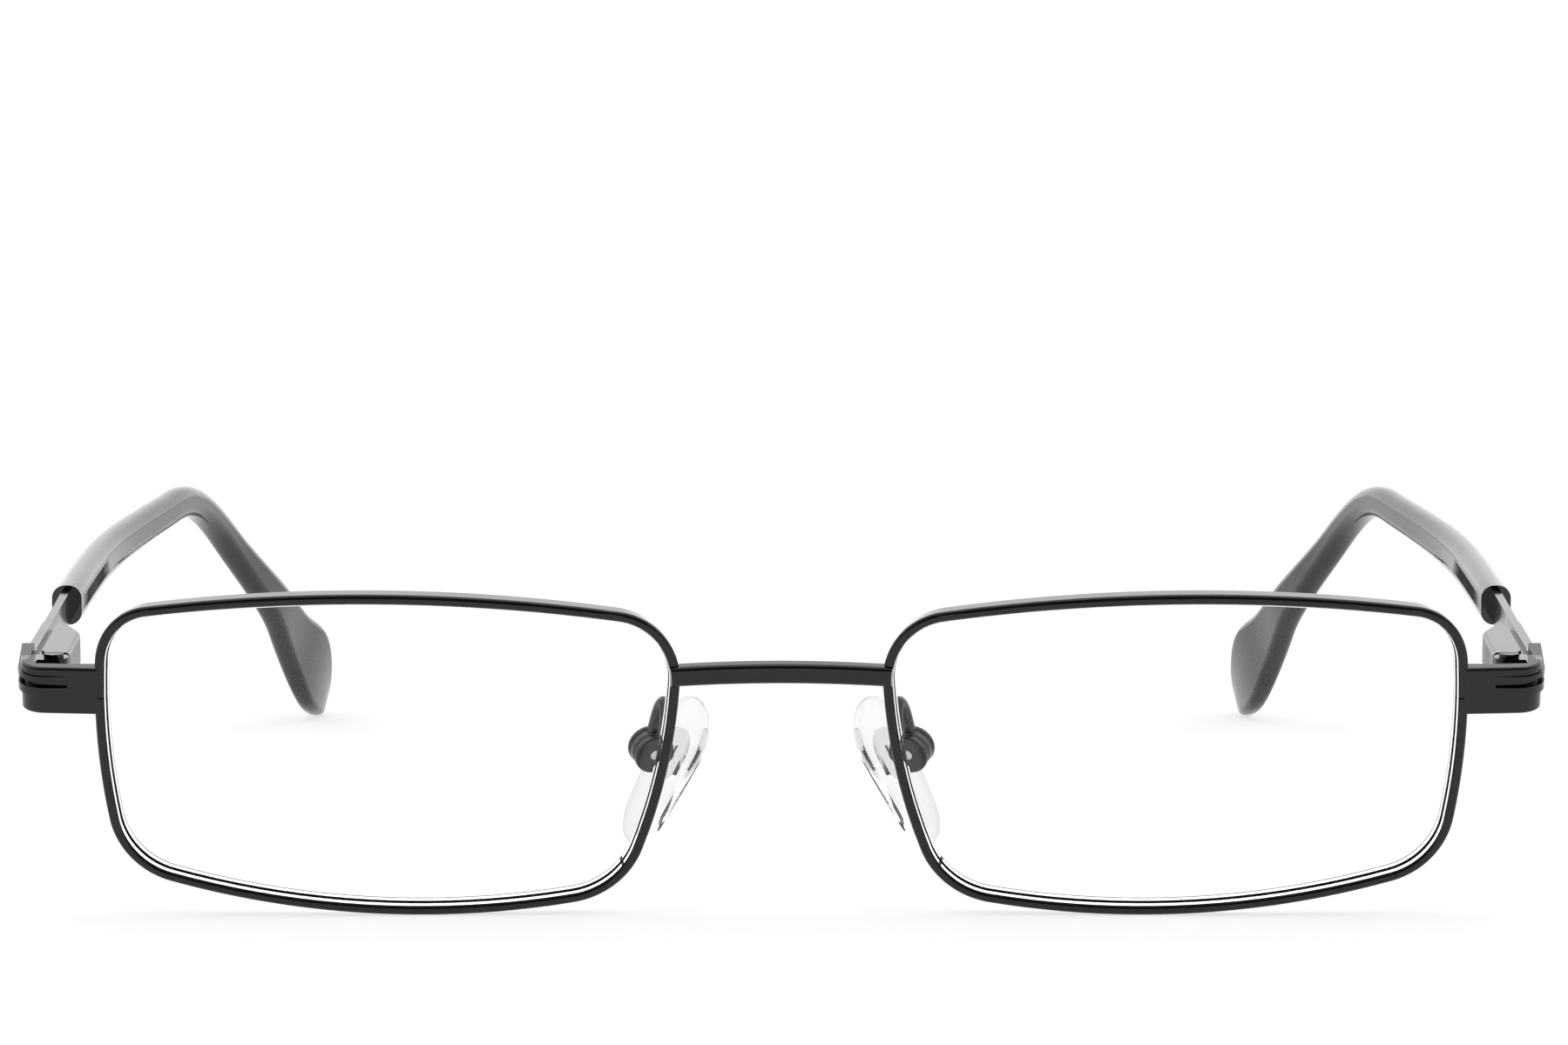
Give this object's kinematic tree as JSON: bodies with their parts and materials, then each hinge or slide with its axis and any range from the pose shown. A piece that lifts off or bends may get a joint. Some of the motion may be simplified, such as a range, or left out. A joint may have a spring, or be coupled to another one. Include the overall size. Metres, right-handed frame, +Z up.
{
  "type": "rectangular eyeglasses",
  "caption": "Rectangular full-rim metal eyeglasses with clear lenses, rocking nose pads, and folding temples on sprung hinges with curved plastic ends.",
  "frame": {"origin": "middle of the bounding box, on the floor that the rims and the tips stand on", "axes": "+X across the face, +Y from the lenses back to the ears, +Z up"},
  "size_m": [0.1372, 0.138, 0.0297],
  "materials": {
    "black_enamel": "semi-gloss",
    "gunmetal": "satin",
    "steel": "satin",
    "clear_lens": "polished",
    "clear_silicone": "smooth",
    "insert_plastic": "gloss",
    "black_plastic": "gloss"
  },
  "bodies": {
    "front": {"bridge": "black_enamel", "rim_left": "black_enamel", "lens_left": "clear_lens", "endpiece_left": "black_enamel", "upper_rim_lock_left": "black_enamel", "lower_rim_lock_left": "black_enamel", "rim_lock_screw_left": "steel", "pad_arm_left": "gunmetal", "pad_screw_left": "steel", "hinge_leaf_left": "black_enamel", "rim_right": "black_enamel", "lens_right": "clear_lens", "endpiece_right": "black_enamel", "upper_rim_lock_right": "black_enamel", "lower_rim_lock_right": "black_enamel", "rim_lock_screw_right": "steel", "pad_arm_right": "gunmetal", "pad_screw_right": "steel", "hinge_leaf_right": "black_enamel"},
    "hinge_screw_left": {"hinge_screw_left": "gunmetal"},
    "hinge_tongue_left": {"hinge_tongue_left": "gunmetal"},
    "temple_left": {"spring_housing_left": "black_enamel", "spring_seat_left": "steel", "hinge_spring_left": "steel", "temple_bar_left": "black_enamel", "temple_sleeve_left": "black_plastic"},
    "nose_pad_left": {"nose_pad_left": "clear_silicone", "pad_insert_left": "insert_plastic"},
    "hinge_screw_right": {"hinge_screw_right": "gunmetal"},
    "hinge_tongue_right": {"hinge_tongue_right": "gunmetal"},
    "temple_right": {"spring_housing_right": "black_enamel", "spring_seat_right": "steel", "hinge_spring_right": "steel", "temple_bar_right": "black_enamel", "temple_sleeve_right": "black_plastic"},
    "nose_pad_right": {"nose_pad_right": "clear_silicone", "pad_insert_right": "insert_plastic"}
  },
  "joints": [
    {"name": "temple_fold_left", "type": "hinge", "parent": "front", "child": "hinge_screw_left", "pos_m": [-0.0649, -0.05761, 0.02109], "axis": [0, 0.0713, -0.9975], "range_deg": [0, 84]},
    {"name": "temple_flex_left", "type": "hinge", "parent": "hinge_screw_left", "child": "hinge_tongue_left", "pos_m": [-0.0649, -0.05761, 0.02109], "axis": [0, 0.0713, -0.9975], "range_deg": [-12, 0], "stiffness_Nm_per_rad": 0.8},
    {"name": "spring_slide_left", "type": "slide", "parent": "hinge_tongue_left", "child": "temple_left", "axis": [0, 0.9975, 0.0713], "range_m": [0, 0.00076]},
    {"name": "pad_rock_left", "type": "hinge", "parent": "front", "child": "nose_pad_left", "pos_m": [-0.01167, -0.05813, 0.01441], "axis": [-0.3798, 0.8408, 0.3857], "range_deg": [-8, 8]},
    {"name": "temple_fold_right", "type": "hinge", "parent": "front", "child": "hinge_screw_right", "pos_m": [0.0649, -0.05761, 0.02109], "axis": [0, -0.0713, 0.9975], "range_deg": [0, 79]},
    {"name": "temple_flex_right", "type": "hinge", "parent": "hinge_screw_right", "child": "hinge_tongue_right", "pos_m": [0.0649, -0.05761, 0.02109], "axis": [0, -0.0713, 0.9975], "range_deg": [-12, 0], "stiffness_Nm_per_rad": 0.8},
    {"name": "spring_slide_right", "type": "slide", "parent": "hinge_tongue_right", "child": "temple_right", "axis": [0, 0.9975, 0.0713], "range_m": [0, 0.00076]},
    {"name": "pad_rock_right", "type": "hinge", "parent": "front", "child": "nose_pad_right", "pos_m": [0.01167, -0.05813, 0.01441], "axis": [-0.3798, -0.8408, -0.3857], "range_deg": [-8, 8]}
  ],
  "couplings": [
    {"joint": "spring_slide_left", "follows": "temple_flex_left", "m_per_rad": -0.003581},
    {"joint": "spring_slide_right", "follows": "temple_flex_right", "m_per_rad": -0.003581}
  ]
}
